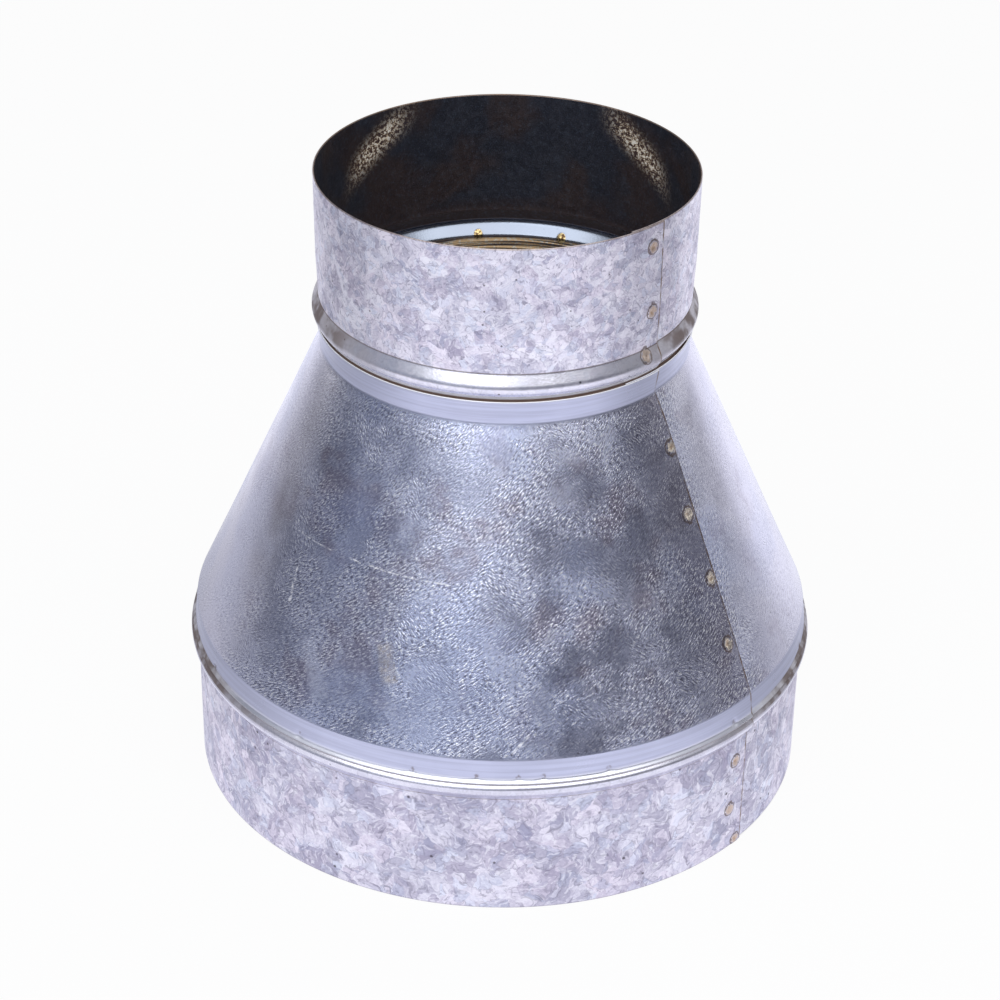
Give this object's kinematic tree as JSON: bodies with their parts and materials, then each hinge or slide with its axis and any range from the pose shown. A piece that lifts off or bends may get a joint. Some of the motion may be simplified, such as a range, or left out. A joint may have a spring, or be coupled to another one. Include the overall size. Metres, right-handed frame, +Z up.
{
  "type": "duct reducer",
  "caption": "Concentric sheet-metal duct reducer: a wide and a narrow beaded collar joined by a rolled cone, with lapped, spot-welded seams.",
  "frame": {"origin": "centre of the bottom rim, on the surface the reducer stands on", "axes": "+Z up the duct from the large end to the small end; the free edges of the lap seams are on +X"},
  "size_m": [0.2046, 0.2046, 0.2059],
  "materials": {
    "spangled_sheet": "galvanised with a matt zinc spangle",
    "smooth_sheet": "galvanised with a smooth, mottled, lightly scratched zinc skin"
  },
  "bodies": {
    "root": {"large_collar": "spangled_sheet", "cone": "smooth_sheet", "small_collar": "spangled_sheet"}
  },
  "joints": []
}
